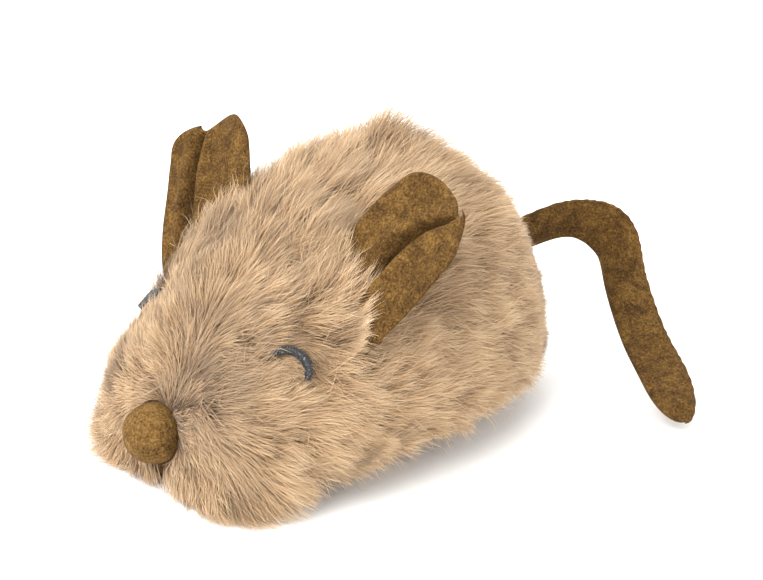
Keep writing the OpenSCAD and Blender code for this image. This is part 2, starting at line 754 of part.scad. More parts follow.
// ---- Rear roller
module roller() {
  color(case_c) place() difference() {
    rod(-roller_l / 2, roller_l / 2, roller_c, roller_d / 2);
    rod(-roller_l, roller_l, roller_c, 0.8 + run_gap);
  }
}
module roller_axle() {
  color(steel_c) place() rod(-roller_l / 2 - 1.8, roller_l / 2 + 1.8, roller_c, 0.8);
}

fur_left();
fur_right();
belly_ring();
stuffing();
ear_left();
ear_right();
nose();
eye_left();
eye_right();
tail();
key_eyelet();
base_plate();
case_left();
case_right();
case_screw_1();
case_screw_2();
case_screw_3();
case_screw_4();
base_screw_1();
base_screw_2();
base_screw_3();
base_screw_4();
mainspring();
winding_arbor();
ratchet_wheel();
winding_key();
great_wheel();
click();
middle_arbor();
middle_pinion();
middle_wheel();
idler_gear();
idler_pin();
governor_pinion();
flywheel();
drive_axle();
drive_pinion();
hub_left();
hub_right();
tyre_left();
tyre_right();
roller();
roller_axle();
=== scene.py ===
import math

import bmesh
import bpy
import numpy as np
from mathutils import Matrix, Vector, geometry, kdtree


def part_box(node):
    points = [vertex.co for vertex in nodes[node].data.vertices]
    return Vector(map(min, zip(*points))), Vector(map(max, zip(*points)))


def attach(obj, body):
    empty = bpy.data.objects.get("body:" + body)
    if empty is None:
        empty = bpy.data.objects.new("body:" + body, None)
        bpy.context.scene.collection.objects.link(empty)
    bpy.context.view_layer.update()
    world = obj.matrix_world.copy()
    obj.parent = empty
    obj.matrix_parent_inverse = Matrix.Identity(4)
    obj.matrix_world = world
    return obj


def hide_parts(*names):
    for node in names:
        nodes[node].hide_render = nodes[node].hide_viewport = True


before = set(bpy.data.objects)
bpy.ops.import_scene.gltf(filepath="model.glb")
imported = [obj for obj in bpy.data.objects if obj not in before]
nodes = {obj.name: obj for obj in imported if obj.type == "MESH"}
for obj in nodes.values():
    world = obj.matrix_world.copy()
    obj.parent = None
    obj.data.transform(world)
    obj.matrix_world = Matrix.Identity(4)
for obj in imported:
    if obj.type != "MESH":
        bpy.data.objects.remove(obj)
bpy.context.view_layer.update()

mm = 0.001

# A long lens from the front left, a little above the animal
camera = {
    "target": (0, -8.2, 14.1),
    "back": (0.6727, -0.6354, 0.3793),
    "up": (-0.2755, 0.2604, 0.9255),
    "away": 356.35,
    "lens": 88.4,
    "sensor": 36,
    "shift": (0.0356, 0.055),
}
backWay = Vector(camera["back"]).normalized()
upWay = Vector(camera["up"]).normalized()
rightWay = upWay.cross(backWay).normalized()
upWay = backWay.cross(rightWay)
lens = bpy.data.cameras.new("camera")
lens.lens = camera["lens"]
lens.sensor_width = camera["sensor"]
lens.shift_x, lens.shift_y = camera["shift"]
lens.clip_start, lens.clip_end = 0.01, 10
eyePoint = bpy.data.objects.new("camera", lens)
bpy.context.scene.collection.objects.link(eyePoint)
turn = Matrix((rightWay, upWay, backWay)).transposed().to_4x4()
turn.translation = (Vector(camera["target"]) + backWay * camera["away"]) * mm
eyePoint.matrix_world = turn
bpy.context.scene.camera = eyePoint
bpy.context.scene.view_settings.view_transform = "Standard"
print("camera made")


def hexColour(code):
    # sRGB hex value to linear, as shaders use it
    parts = [int(code[i:i + 2], 16) / 255 for i in (1, 3, 5)]
    return [c / 12.92 if c <= 0.04045 else ((c + 0.055) / 1.055) ** 2.4 for c in parts] + [1.0]


def addNode(tree, kind, settings=None, links=None):
    # Settings name the node's own values or its inputs; stops are a colour ramp's places and colours
    node = tree.nodes.new("ShaderNode" + kind)
    for name, value in (settings or {}).items():
        if name == "stops":
            while len(node.color_ramp.elements) < len(value):
                node.color_ramp.elements.new(0.5)
            for element, (place, code) in zip(node.color_ramp.elements, value):
                element.position = place
                element.color = hexColour(code) if isinstance(code, str) else (code, code, code, 1)
        elif isinstance(name, str) and hasattr(node, name):
            setattr(node, name, value)
        else:
            node.inputs[name].default_value = value
    for name, source in (links or {}).items():
        tree.links.new(source, node.inputs[name])
    return node


def newFinish(name, settings):
    finish = bpy.data.materials.new(name)
    finish.use_nodes = True
    tree = finish.node_tree
    shader = tree.nodes["Principled BSDF"]
    for socket, value in settings.items():
        shader.inputs[socket].default_value = value
    return finish, tree, shader


def addPiece(name, mesh, finish, body="shell"):
    piece = bpy.data.objects.new(name, mesh)
    bpy.context.scene.collection.objects.link(piece)
    mesh.materials.clear()
    mesh.materials.append(finish)
    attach(piece, body)
    return piece


def mappedGrid(name, across, along, *places):
    # Grids whose corners go where each place(u, v) says; u runs across and v along, both from 0 to 1
    bm = bmesh.new()
    uv = bm.loops.layers.uv.new("UVMap")
    for place in places:
        made = bmesh.ops.create_grid(bm, x_segments=across, y_segments=along, size=0.5)
        where = {vert: (vert.co.x + 0.5, vert.co.y + 0.5) for vert in made["verts"]}
        for face in {face for vert in made["verts"] for face in vert.link_faces}:
            face.smooth = True
            for loop in face.loops:
                loop[uv].uv = where[loop.vert]
        for vert, (u, v) in where.items():
            vert.co = Vector(place(u, v)) * mm
    bmesh.ops.remove_doubles(bm, verts=bm.verts, dist=0.00002)
    bmesh.ops.recalc_face_normals(bm, faces=bm.faces)
    mesh = bpy.data.meshes.new(name)
    bm.to_mesh(mesh)
    bm.free()
    return mesh


# The skin's outline, in millimetres, from the frame's own boxes
leftLow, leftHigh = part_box("fur_left")
tyreLow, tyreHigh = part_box("tyre_left")
skin = {
    "floor": round(tyreLow.z / mm, 3),
    "nose": leftLow.y / mm,
    "rump": leftHigh.y / mm,
    "halfWidth": leftHigh.x / mm,
    "top": leftHigh.z / mm,
    "hem": leftLow.z / mm,
    "widest": 0.492,
    "highest": 0.648,
    "endHeight": 0.21,
    "cheekHeight": 0.22,
    "tuck": 0.31,  # share of the half width that the hem is drawn in by
    "raised": 3.4,  # how far the hem is drawn up
}
skinLength = skin["rump"] - skin["nose"]
skinMiddle = (skin["rump"] + skin["nose"]) / 2
tall = skin["top"] - skin["floor"]


def smoothStep(a, b, x):
    t = np.clip((x - a) / (b - a), 0, 1)
    return t * t * (3 - 2 * t)


def skinPoint(y, v, side, deep=0.0):
    # v runs from the ridge at 0 to the hem at 1; deep moves the point inwards
    y = np.asarray(y, float)
    v = np.asarray(v, float)
    wideY = skin["nose"] + skin["widest"] * skinLength
    highY = skin["nose"] + skin["highest"] * skinLength
    low = skin["endHeight"] * tall
    nose, rump = skin["nose"], skin["rump"]
    wideRatio = np.where(y < wideY, (wideY - y) / (wideY - nose), (y - wideY) / (rump - wideY))
    highRatio = np.where(y < highY, (highY - y) / (highY - nose), (y - highY) / (rump - highY))
    wideRatio, highRatio = np.clip(wideRatio, 0, 1), np.clip(highRatio, 0, 1)
    wideShare = np.where(y < wideY, (1 - wideRatio ** 2.2) ** 0.245, (1 - wideRatio ** 2) ** 0.451)
    highShare = np.where(y < highY, (1 - highRatio ** 1.5) ** 0.548, (1 - highRatio ** 2.2) ** 0.448)
    w = skin["halfWidth"] * wideShare
    h = low + (tall - low) * highShare
    hemZ = skin["hem"] - skin["floor"]
    c = hemZ + skin["cheekHeight"] * (h - hemZ)
    q = np.radians(90 * (1 - np.clip(v, 0, 0.75) / 0.75))
    s = np.clip((v - 0.75) / 0.25, 0, 1)
    x = np.where(v <= 0.75, w * np.cos(q) ** 0.89, w * (1 - skin["tuck"] * s ** 2))
    raised = skin["raised"] * smoothStep(nose + 1.5, nose + 15, y)  # the chin hangs as low as the skin does
    z = np.where(v <= 0.75, c + (h - c) * np.sin(q) ** 0.89, c - (c - hemZ - raised) * s)
    y = skinMiddle + (y - skinMiddle) * (1 - 0.02 * s ** 2)
    x = x * (1 - deep / skin["halfWidth"])
    y = skinMiddle + (y - skinMiddle) * (1 - deep / (skinLength / 2))
    z = hemZ + (z - hemZ) * (tall - deep - hemZ) / (tall - hemZ)
    return np.stack([side * x, y, z + skin["floor"]], axis=-1)


def stationY(s):
    return skin["nose"] + skinLength * (1 - np.cos(np.pi * np.clip(s, 0.0005, 0.9995))) / 2


def unit(a):
    return a / np.maximum(np.linalg.norm(a, axis=-1, keepdims=True), 1e-9)


def waves(points, size, seed):
    # Smooth random values, mostly between -1 and 1, that change over about that size
    dice = np.random.default_rng(seed)
    total = np.zeros(len(points))
    for _ in range(7):
        way = dice.normal(size=3)
        way *= 2 * math.pi / size / np.linalg.norm(way) * dice.uniform(0.55, 1.5)
        total += np.sin(points @ way + dice.uniform(0, 2 * math.pi))
    return total / 2.6


# The three soft landmarks that the pile has to go round, in millimetres
noseLow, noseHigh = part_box("nose")
noseCentre = np.array((noseLow + noseHigh) / 2) / mm
noseRadius = (noseHigh.x - noseLow.x) / 2 / mm
ear = {
    "base": np.array([
        20.6, skin["nose"] + skin["widest"] * skinLength - 13.9, 0.72 * tall + skin["floor"],
    ]),
    "way": unit(np.array([0.467, 0.453, 0.76])),
    "length": 24.0,
    "half": 10.6,
    "thick": 1.9,
    "sunk": 5.0,
    "dish": 0.17,
    "middle": 0.4,  # how far the pile takes the leaf's middle to be behind its base point
    "gap": 1.5,  # from that middle to the nearest strand
}
ear["face"] = np.array([0.01, -0.86, 0.51])
ear["face"] = unit(ear["face"] - (ear["face"] @ ear["way"]) * ear["way"])
ear["side"] = np.cross(ear["way"], ear["face"])
eyeLow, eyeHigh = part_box("eye_left")
eyeCentre = np.array((eyeLow + eyeHigh) / 2) / mm
eyeletLow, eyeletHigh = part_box("key_eyelet")
eyeletCentre = np.array((eyeletLow + eyeletHigh) / 2) / mm

pile = {
    "seed": 11,
    "strands": 230000,
    "clumpArea": 6.0,
    "steps": 4,
    "depth": 0.9,
    "width": 0.115,
    "parting": 2.0,
    "strays": 0.22,  # share of strands that leave their clump
    "lift": 42,  # degrees above the skin at the root
    "pull": 0.42,  # how far a clump draws its tips together
    "crimp": 0.13,
    "clearNose": 0.4,
    "clearEyelet": 5.6,
    "tuft": np.array([0.0, -2.5, skin["top"]]),
}


def skinFrame(s, v, side):
    # Root points with their outward normals
    step, deep = 0.002, pile["depth"]
    here = skinPoint(stationY(s), v, side, deep)
    backward = skinPoint(stationY(s + step), v, side, deep) - skinPoint(stationY(s - step), v, side, deep)
    down = skinPoint(stationY(s), v + step, side, deep) - skinPoint(stationY(s), v - step, side, deep)
    out = unit(np.cross(unit(backward), unit(down))) * np.where(side > 0, 1, -1)[:, None]
    centre = np.array([0, skinMiddle, 12.0])
    flip = np.sum(out * (here - centre), axis=1) < 0
    out[flip] *= -1
    return here, out


def scatterRoots(count, dice):
    # Roots spread evenly over the skin's area
    # The skin is blunt at both ends, so the stations close up there
    ends = np.array([0.0006, 0.001, 0.002, 0.004, 0.007])
    sEdge = np.concatenate([ends, np.linspace(0.01, 0.99, 121), 1 - ends[::-1]])
    vEdge = np.linspace(0.0, 1.0, 61)
    s, v = np.meshgrid((sEdge[:-1] + sEdge[1:]) / 2, (vEdge[:-1] + vEdge[1:]) / 2, indexing="ij")
    s, v = s.ravel(), v.ravel()
    ds, dv = np.repeat(np.diff(sEdge), len(vEdge) - 1), vEdge[1] - vEdge[0]
    side = np.ones(len(s))
    a = skinPoint(stationY(s + ds / 2), v, side) - skinPoint(stationY(s - ds / 2), v, side)
    b = skinPoint(stationY(s), v + dv / 2, side) - skinPoint(stationY(s), v - dv / 2, side)
    area = np.linalg.norm(np.cross(a, b), axis=1)
    cell = dice.choice(len(s), size=count, p=area / area.sum())
    side = np.where(dice.random(count) < 0.5, 1.0, -1.0)
    sHit = s[cell] + dice.uniform(-0.5, 0.5, count) * ds[cell]
    vHit = v[cell] + dice.uniform(-0.5, 0.5, count) * dv
    return sHit, np.clip(vHit, 0.003, 0.997), side, area.sum() * 2


def combWay(points, out, v):
    # Away from the nose over the head, parted along the top of the snout, then straight back along the body
    fromNose = unit(points - np.array([0, -48.0, 8.0]))
    side = np.sign(points[:, 0])
    down = 0.04 + 0.16 * smoothStep(0.45, 0.9, v)
    behind = unit(np.stack([side * 0.12, np.full(len(points), 0.95), -down], axis=1))
    share = smoothStep(-36, -12, points[:, 1])[:, None]
    way = (1 - share) * fromNose + share * behind
    apart = (points[:, 0] - pile["parting"] - 1.2 * np.sin(points[:, 1] / 3.0)) / 5.0
    onSnout = (1 - smoothStep(-34, -24, points[:, 1])) * smoothStep(10, 15, points[:, 2])
    way[:, 0] += 1.6 * apart * np.exp(-apart ** 2) * onSnout
    under = (1 - smoothStep(-51, -46, points[:, 1])) * (1 - smoothStep(6, 13, points[:, 2]))
    level = np.full(len(points), 1.0)
    chin = unit(np.stack([points[:, 0] * 0.08, -0.12 * level, -level], axis=1))
    way = (1 - under)[:, None] * way + under[:, None] * chin
    cheek = smoothStep(0.45, 0.75, v) * smoothStep(7, 12, np.abs(points[:, 0]))
    way[:, 2] += cheek * np.maximum(-0.1 - way[:, 2], 0)
    way = way - np.sum(way * out, axis=1)[:, None] * out
    way = unit(way)
    swirl = waves(points, 24, 3) * 0.3 + waves(points, 10, 4) * 0.22
    across = np.cross(out, way)
    return unit(way * np.cos(swirl)[:, None] + across * np.sin(swirl)[:, None])


def pileLength(points, v):
    # Long over the head, the crown and the cheeks, shorter and flatter over the rump
    long = 8.6 - 4.0 * smoothStep(0, 22, points[:, 1])
    fromNose = np.linalg.norm(points - noseCentre, axis=1)
    long *= 0.5 + 0.5 * smoothStep(6.5, 14, fromNose)
    long *= 1 + 0.5 * (1 - smoothStep(-51, -46, points[:, 1])) * (1 - smoothStep(3, 9, points[:, 2]))
    crown = smoothStep(-36, -26, points[:, 1]) * (1 - smoothStep(0, 12, points[:, 1]))
    crown = crown * (1 - smoothStep(0.25, 0.5, v))
    long *= 1 + 0.3 * crown
    long *= 1 - 0.38 * smoothStep(0.7, 0.95, v)
    farCheek = (1 - smoothStep(-45, -34, points[:, 1])) * smoothStep(4, 12, -points[:, 0])
    long *= 1 - 0.25 * farCheek
    return long, crown


def strandMesh(name, line, half, shade):
    # Ribbons of a few quads that narrow to one corner
    # The map holds each strand's shade and how far along it is
    count, rings = line.shape[0], line.shape[1]
    edge = rings - 1
    verts = np.empty((count, 2 * edge + 1, 3), np.float32)
    verts[:, 0:2 * edge:2] = line[:, :edge] - half[:, :edge]
    verts[:, 1:2 * edge:2] = line[:, :edge] + half[:, :edge]
    verts[:, 2 * edge] = line[:, edge]
    verts *= mm
    quads = np.array([[2 * k, 2 * k + 1, 2 * k + 3, 2 * k + 2] for k in range(edge - 1)], int).ravel()
    corners = np.concatenate([quads, [2 * edge - 2, 2 * edge - 1, 2 * edge]])
    starts = np.concatenate([np.arange(edge - 1) * 4, [(edge - 1) * 4]])
    loops = corners[None, :] + np.arange(count)[:, None] * (2 * edge + 1)
    begin = starts[None, :] + np.arange(count)[:, None] * len(corners)
    mesh = bpy.data.meshes.new(name)
    mesh.vertices.add(count * (2 * edge + 1))
    mesh.vertices.foreach_set("co", verts.ravel())
    mesh.loops.add(loops.size)
    mesh.loops.foreach_set("vertex_index", loops.ravel().astype(np.int32))
    mesh.polygons.add(begin.size)
    mesh.polygons.foreach_set("loop_start", begin.ravel().astype(np.int32))
    mesh.update(calc_edges=True)
    side = np.where(corners == 2 * edge, 0, np.where(corners % 2 == 0, -0.002, 0.002))
    upTo = (corners // 2) / edge
    uv = np.empty((count, len(corners), 2), np.float32)
    uv[:, :, 0] = np.clip(shade[:, None], 0.01, 0.99) + side[None, :]
    uv[:, :, 1] = upTo[None, :]
    mesh.uv_layers.new(name="OFBake").data.foreach_set("uv", uv.ravel())
    mesh.polygons.foreach_set("use_smooth", np.ones(begin.size, bool))
    mesh.update()
    return mesh


def keepOffEars(line, roots):
    # A strand that starts in front of an ear stands up along it, and one behind it stays behind
    buried = np.zeros(len(roots), bool)
    for side in (1, -1):
        mirror = np.array([side, 1, 1])
        rootPlace = roots * mirror - ear["base"]
        rootAcross = rootPlace @ ear["side"]
        rootFace = rootPlace @ ear["face"] - ear["dish"] * np.abs(rootAcross)
        front = rootFace > -ear["middle"]
        buried |= (np.abs(rootFace + ear["middle"]) < 0.8) & (np.abs(rootAcross) < ear["half"])
        for k in range(1, line.shape[1]):
            place = line[:, k] * mirror - ear["base"]
            high = place @ ear["way"]
            across = place @ ear["side"]
            face = place @ ear["face"]
            near = (np.abs(across) < ear["half"] + 0.4) & (high > -7) & (high < ear["length"])
            surface = ear["dish"] * np.abs(across) - ear["middle"]
            ahead = np.maximum(surface + ear["gap"] - face, 0)
            behind = np.minimum(surface - ear["gap"] - face, 0)
            push = np.where(front, ahead, behind)
            push = np.where(near, np.clip(push, -3.5, 8), 0)
            line[:, k] += push[:, None] * ear["face"] * mirror
    return buried


def growPile():
    dice = np.random.default_rng(pile["seed"])
    s, v, side, area = scatterRoots(pile["strands"], dice)
    roots, out = skinFrame(s, v, side)
    clumps = int(area / pile["clumpArea"])
    sC, vC, sideC, _ = scatterRoots(clumps, dice)
    clumpRoots, _ = skinFrame(sC, vC, sideC)
    tree = kdtree.KDTree(clumps)
    for k, p in enumerate(clumpRoots):
        tree.insert(p, k)
    tree.balance()
    owner = np.array([tree.find(p)[1] for p in roots])
    way = combWay(roots, out, v)
    stray = dice.random(len(roots)) < pile["strays"]
    clumpTurn = dice.normal(0, 0.2, clumps)[owner]
    clumpTurn = clumpTurn + dice.normal(0, 1, len(roots)) * np.where(stray, 0.45, 0.14)
    across = np.cross(out, way)
    way = unit(way * np.cos(clumpTurn)[:, None] + across * np.sin(clumpTurn)[:, None])
    length, crown = pileLength(roots, v)
    length *= (1 + dice.normal(0, 0.1, clumps)[owner]) * dice.uniform(0.7, 1.12, len(roots))
    lift = np.radians(pile["lift"] + dice.normal(0, 6, clumps)[owner] + dice.normal(0, 8, len(roots)))
    lift *= 1 - 0.35 * smoothStep(2, 26, roots[:, 1])
    lift *= 1 + 0.45 * crown
    lift *= 1 - 0.6 * smoothStep(0.66, 0.9, v)
    lift *= 1 - 0.25 * (1 - smoothStep(-50, -36, roots[:, 1])) * (1 - smoothStep(0.5, 0.8, v))

    # Short and flat round the stitched eyes, so that they show
    for sign in (1, -1):
        bareSpot = eyeCentre * np.array([sign, 1, 1])
        near = np.linalg.norm(roots - bareSpot - np.array([-1.0 * sign, -2.0, 0]), axis=1)
        length *= 0.45 + 0.55 * smoothStep(4.2, 8.0, near)
        lift *= 0.35 + 0.65 * smoothStep(4.0, 8.0, near)

    # A tuft stands up where the two halves of the skin meet on top of the back
    tuft = np.exp(-np.sum((roots - pile["tuft"]) ** 2 / np.array([7.0, 10.0, 60.0]), axis=1))
    lift += 0.6 * tuft
    length *= 1 + 0.45 * tuft

    steps = pile["steps"]
    line = np.empty((len(roots), steps + 1, 3))
    line[:, 0] = roots
    gather = roots - clumpRoots[owner]
    gather -= np.sum(gather * out, axis=1)[:, None] * out
    pull = np.clip(pile["pull"] + dice.normal(0, 0.15, clumps)[owner], 0.05, 0.8)
    pull = pull * (1 - 0.5 * smoothStep(-4, 20, roots[:, 1]))
    pull = np.where(stray, 0.1, pull)
    place = roots.copy()
    for k in range(steps):
        t = (k + 0.5) / steps
        rise = lift * (1.0 - 0.85 * t)
        ahead = way * np.cos(rise)[:, None] + out * np.sin(rise)[:, None]
        ahead[:, 2] -= 0.12 * t
        place = place + unit(ahead) * (length / steps)[:, None]
        line[:, k + 1] = place - gather * (pull * ((k + 1) / steps) ** 1.3)[:, None]
        crimp = dice.normal(0, pile["crimp"], len(roots)) * (k > 0)
        line[:, k + 1] += np.cross(out, way) * crimp[:, None]
    buried = keepOffEars(line, roots)

    # Nothing goes through the nose, the floor or the eyelet of the key
    away = np.linalg.norm(roots - noseCentre, axis=1)
    keep = (away > noseRadius - 0.3) & ~buried
    for k in range(1, steps + 1):
        gap = line[:, k] - noseCentre
        far = np.linalg.norm(gap, axis=1)
        inside = far < noseRadius + pile["clearNose"]
        line[inside, k] = noseCentre + gap[inside] / far[inside][:, None] * (noseRadius + pile["clearNose"])
        low = skin["floor"] + 1.6 + 2.6 * (1 - roots[:, 2] / 20).clip(0, 1)
        low += 0.6 * waves(roots, 1.5, 17) - 3.0 * (1 - smoothStep(-47, -38, roots[:, 1]))
        low = np.maximum(low, skin["floor"] + 0.2)
        line[:, k, 2] = np.maximum(line[:, k, 2], np.minimum(low, roots[:, 2] - 0.2))
    ring = np.hypot(roots[:, 1] - eyeletCentre[1], roots[:, 2] - eyeletCentre[2])
    keep &= ~((roots[:, 0] < 0) & (ring < pile["clearEyelet"]))

    roll = dice.uniform(-0.75, 0.75, len(roots))
    half = np.empty_like(line)
    width = pile["width"] * dice.uniform(0.7, 1.25, len(roots))
    for k in range(steps + 1):
        ahead = unit(line[:, min(k + 1, steps)] - line[:, max(k - 1, 0)])
        flat = unit(np.cross(ahead, out))
        tilt = np.cross(ahead, flat)
        narrow = width / 2 * (1 - 0.75 * (k / steps) ** 2)
        half[:, k] = (flat * np.cos(roll)[:, None] + tilt * np.sin(roll)[:, None]) * narrow[:, None]
    rear = smoothStep(-2, 26, roots[:, 1])
    # Painted shade: the top of the head is made darker, as less light falls on it than on the cheeks
    headTopShade = (1 - smoothStep(-26, -14, roots[:, 1])) * (1 - smoothStep(0.3, 0.55, v))
    shade = 0.6 - 0.25 * rear - 0.14 * headTopShade + 0.1 * waves(roots, 14, 8)
    shade += dice.normal(0, 0.12, clumps)[owner] + dice.normal(0, 0.12, len(roots))
    return roots, line, half, np.clip(shade, 0.02, 0.98), keep


def fibreFinish():
    # Modacrylic pile, knitted in and brushed: fine matt filaments, brown at the root and paler towards the tip, the
    # dark roots partly painted shade deep in the pile and the pale tips partly painted light shining through them
    finish, tree, shader = newFinish("modacrylicPile", {
        "Roughness": 0.6,
        "IOR": 1.5,
        "Specular IOR Level": 0.25,
        "Sheen Weight": 0.3,
        "Sheen Roughness": 0.5,
    })
    uv = addNode(tree, "UVMap", {"uv_map": "OFBake"})
    split = addNode(tree, "SeparateXYZ", links={"Vector": uv.outputs["UV"]})
    # Root to tip: the dark roots are partly painted shade down in the pile, the pale tips partly painted light
    along = addNode(tree, "ValToRGB", {"stops": [
        (0.0, "#5c472e"), (0.3, "#8b7051"), (0.65, "#b79b79"), (1.0, "#dac4a4"),
    ]}, {"Fac": split.outputs["Y"]})
    # Each strand's tone, which also holds the painted shade on the top of the head
    shade = addNode(tree, "ValToRGB", {"stops": [
        (0.0, "#a8a09a"), (0.35, "#d6cec6"), (0.65, "#f6ecdf"), (1.0, "#ffffff"),
    ]}, {"Fac": split.outputs["X"]})
    mix = addNode(tree, "Mix", {"data_type": "RGBA", "blend_type": "MULTIPLY", 0: 1.0})
    tree.links.new(along.outputs["Color"], mix.inputs[6])
    tree.links.new(shade.outputs["Color"], mix.inputs[7])
    tree.links.new(mix.outputs[2], shader.inputs["Base Color"])
    return finish


fibre = fibreFinish()
roots, line, half, shade, keep = growPile()
# Five bands of about as many strands each, so that no piece is too heavy
bandEdges = np.quantile(roots[:, 1], (0.2, 0.4, 0.6, 0.8))
band = np.searchsorted(bandEdges, roots[:, 1])
bandNames = ("muzzlePile", "headPile", "crownPile", "flankPile", "rumpPile")
regions = [(name, band == k) for k, name in enumerate(bandNames)]
for name, inRegion in regions:
    for sideName, onSide in (("Left", roots[:, 0] >= 0), ("Right", roots[:, 0] < 0)):
        chosen = keep & inRegion & onSide
        mesh = strandMesh(name + sideName, line[chosen], half[chosen], shade[chosen])
        addPiece(name + sideName, mesh, fibre)
        print(name + sideName, int(chosen.sum()), "strands")

# The woven backing with its short dense underfur, which closes the gaps between the strands; its dark brown is
# partly painted shade, for the shadow deep between the strands
finish, tree, shader = newFinish("shadedPlushBacking", {"Roughness": 0.95, "Sheen Weight": 0.3})
coords = addNode(tree, "TexCoord")
place = {"Vector": coords.outputs["Object"]}
speck = addNode(tree, "TexNoise", {"Scale": 900, "Detail": 4, "Roughness": 0.7}, place)  # 1.1 mm
# Darker than the pile: painted shade between the strands
backingShadeStops = {"stops": [(0.3, "#5f4328"), (0.7, "#9c7a52")]}
tint = addNode(tree, "ValToRGB", backingShadeStops, {"Fac": speck.outputs["Fac"]})
tree.links.new(tint.outputs["Color"], shader.inputs["Base Color"])
bump = addNode(tree, "Bump", {"Strength": 0.6, "Distance": 0.0004}, {"Height": speck.outputs["Fac"]})
tree.links.new(bump.outputs["Normal"], shader.inputs["Normal"])


def backingPlace(u, v):
    side = 1.0 if u >= 0.5 else -1.0
    return skinPoint(stationY(v), abs(u - 0.5) * 2, side, pile["depth"] + 0.1)


mesh = mappedGrid("shadedPlushBacking", 72, 56, backingPlace)
backing = addPiece("shadedPlushBacking", mesh, finish)
wall = backing.modifiers.new("wall", "SOLIDIFY")
wall.thickness = 2.6 * mm
wall.offset = -1
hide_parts("fur_left", "fur_right", "stuffing")
print("pile and backing made")


def suedeFinish(name, dark, middle, light):
    # Polyester microsuede, knitted and brushed: no gloss, fine specks, a nap in lighter and darker patches
    finish, tree, shader = newFinish(name, {
        "Roughness": 0.92,
        "Specular IOR Level": 0.15,
        "Sheen Weight": 0.16,
        "Sheen Roughness": 0.4,
        "Sheen Tint": hexColour("#b08a54"),
    })
    coords = addNode(tree, "TexCoord")
    place = {"Vector": coords.outputs["Object"]}
    patchLook = {"Scale": 1 / (3.2 * mm), "Detail": 3, "Roughness": 0.6, "Distortion": 0.8}
    patch = addNode(tree, "TexNoise", patchLook, place)
    nap = addNode(tree, "TexNoise", {"Scale": 1 / (0.42 * mm), "Detail": 3, "Roughness": 0.75}, place)
    napShare = {"data_type": "FLOAT", 0: 0.66}
    both = addNode(tree, "Mix", napShare, {2: patch.outputs["Fac"], 3: nap.outputs["Fac"]})
    stops = {"stops": [(0.36, dark), (0.5, middle), (0.66, light)]}
    tint = addNode(tree, "ValToRGB", stops, {"Fac": both.outputs[0]})
    tree.links.new(tint.outputs["Color"], shader.inputs["Base Color"])
    bump = addNode(tree, "Bump", {"Strength": 0.7, "Distance": 0.25 * mm}, {"Height": nap.outputs["Fac"]})
    tree.links.new(bump.outputs["Normal"], shader.inputs["Normal"])
    return finish


suede = suedeFinish("brushedMicrosuede", "#281a09", "#503819", "#7a5c2d")
# A lighter copy of the same suede for the nose: painted light
litNoseSuede = suedeFinish("litNoseMicrosuede", "#33230f", "#604622", "#8a6a3b")


# Ears: a doubled leaf of suede, pleated along its middle so that two flaps meet in a deep crease
def earHalf(t):
    if t < 0.6:
        return ear["half"] * (1.04 - 0.067 * t)
    return ear["half"] * max(0.03, 1 - ((t - 0.6) / 0.405) ** 3) ** 0.36


def earPlace(side, crease):
    def place(u, v):
        t = 1 - (1 - v) ** 1.4
        along = t * (ear["length"] + ear["sunk"]) - ear["sunk"]
        half = earHalf(t)
        front = u <= 0.5
        p = 4 * u - 1 if front else 3 - 4 * u
        q = math.copysign(abs(p) ** 1.45, p)
        fromCrease = abs(q) * half
        across = q * half + np.interp(along, *crease) * (1 - q * q)
        body = math.sqrt(max(0, 1 - abs(q) ** 9)) * math.sqrt(max(0, 1 - t ** 14))
        body *= math.sqrt(min(1, v * 12))
        run = 1 - smoothStep(0.93, 1.0, t)
        depth = ear["dish"] * abs(across) + 0.35 * math.sin(along / 4.3 + across / 5 + side)
        if front:
            lip = 1.1 * math.exp(-((fromCrease - 2.0) / 1.7) ** 2)
            groove = 3.3 * math.exp(-(fromCrease / 0.75) ** 1.6)
            depth += (ear["thick"] / 2 + (lip - groove) * run) * body
        else:
            depth -= (ear["thick"] / 2 + 2.6 * math.exp(-(fromCrease / 2.4) ** 2) * run) * body
        along -= 1.3 * math.exp(-(fromCrease / 1.6) ** 2) * smoothStep(0.8, 1.0, t)
        depth += 2.2 * smoothStep(0.75, 1.0, t) * (across / ear["half"]) ** 2
        point = ear["base"] + ear["way"] * along + ear["side"] * across + ear["face"] * (depth - 0.8)
        return point * np.array([side, 1, 1])
    return place


creases = {
    "left": ([-1, 9, 13, 16.4, 18.9, 21, 24], [0.3, -0.8, -0.6, 0.3, 2.0, 3.6, 4.5]),
    "right": ([-1, 4, 9, 14, 21, 24], [4.4, 4.6, 4.2, 4.1, 3.0, 2.4]),
}
for sideName, sign in (("left", 1), ("right", -1)):
    mesh = mappedGrid(sideName + "Ear", 112, 44, earPlace(sign, creases[sideName]))
    earPiece = addPiece(sideName + "Ear", mesh, suede)
    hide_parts("ear_" + sideName)

# Nose: a small stuffed ball of the same suede, not quite round; its copy of the suede is lighter, painted light for
# the extra light the nose catches
noseBall = bmesh.new()
bmesh.ops.create_icosphere(noseBall, subdivisions=6, radius=noseRadius)
points = np.array([vert.co for vert in noseBall.verts])
swell = 1 + 0.012 * waves(points, 5, 21) + 0.006 * waves(points, 1.1, 22)
for vert, point, size in zip(noseBall.verts, points, swell):
    vert.co = Vector(point * size * np.array([1.0, 0.99, 0.985]) + noseCentre) * mm
for face in noseBall.faces:
    face.smooth = True
mesh = bpy.data.meshes.new("noseBall")
noseBall.to_mesh(mesh)
noseBall.free()
piece = addPiece("noseBall", mesh, litNoseSuede)
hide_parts("nose")

